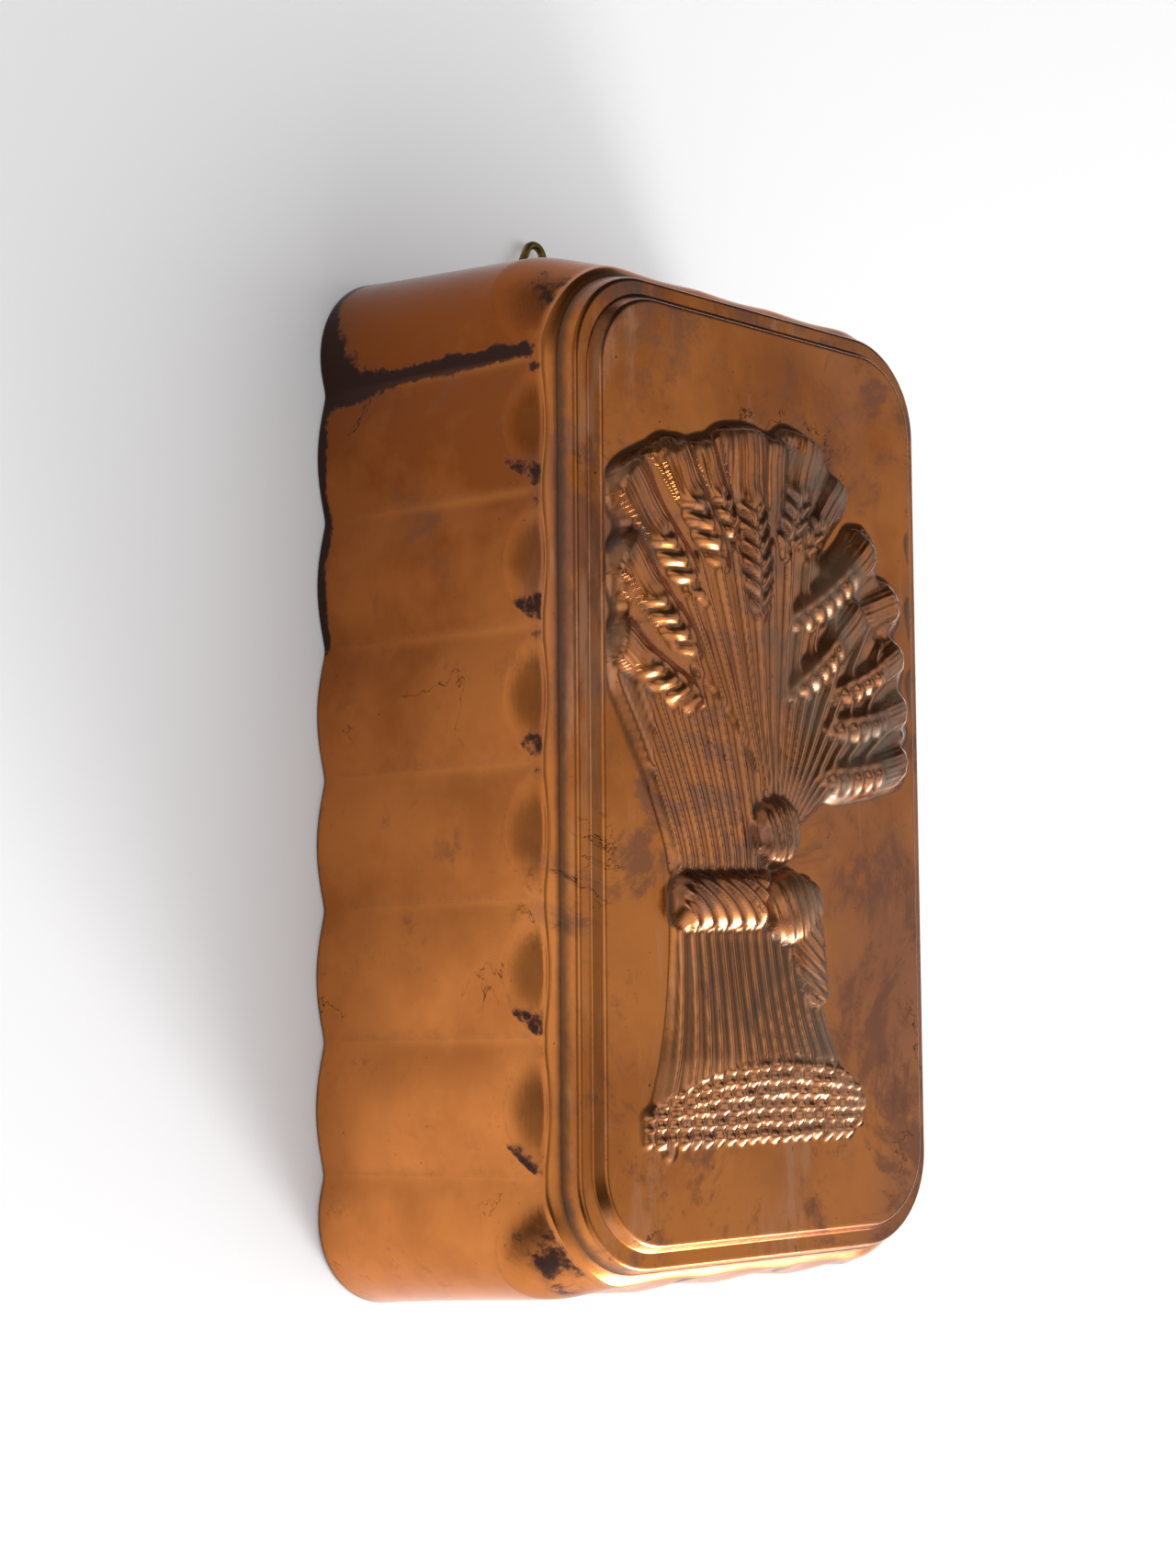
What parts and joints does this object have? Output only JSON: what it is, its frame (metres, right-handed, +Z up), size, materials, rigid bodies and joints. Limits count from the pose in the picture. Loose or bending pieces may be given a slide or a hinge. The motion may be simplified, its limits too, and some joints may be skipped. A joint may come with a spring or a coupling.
{
  "type": "wall hanging copper mould",
  "caption": "Deep fluted rectangular copper kitchen mould with a stepped front and a raised wheat sheaf, open at the back, hung on a small swinging wire loop.",
  "frame": {"origin": "the nail point, inside the top of the hanging loop, where the wire bears on a nail", "axes": "+Z up along the mould's length as it hangs, +X to the viewer's right, +Y into the wall; the open rim lies in the plane y = 2.8 mm and the raised sheaf faces -Y"},
  "size_m": [0.1496, 0.0876, 0.2773],
  "materials": {
    "copper_shell": "aged polished copper with brown and grey-green tarnish, tinned inside",
    "copper_strap": "dull copper strip, soldered down",
    "brass_wire": "old unpolished brass wire"
  },
  "bodies": {
    "mould": {"mould_shell": "copper_shell", "hanger_strap": "copper_strap"},
    "loop": {"hanging_loop": "brass_wire"}
  },
  "joints": [
    {"name": "loop_swing", "type": "hinge", "parent": "mould", "child": "loop", "pos_m": [0, 0, -0.0162], "axis": [1, 0, 0], "range_deg": [-110, 92]}
  ]
}
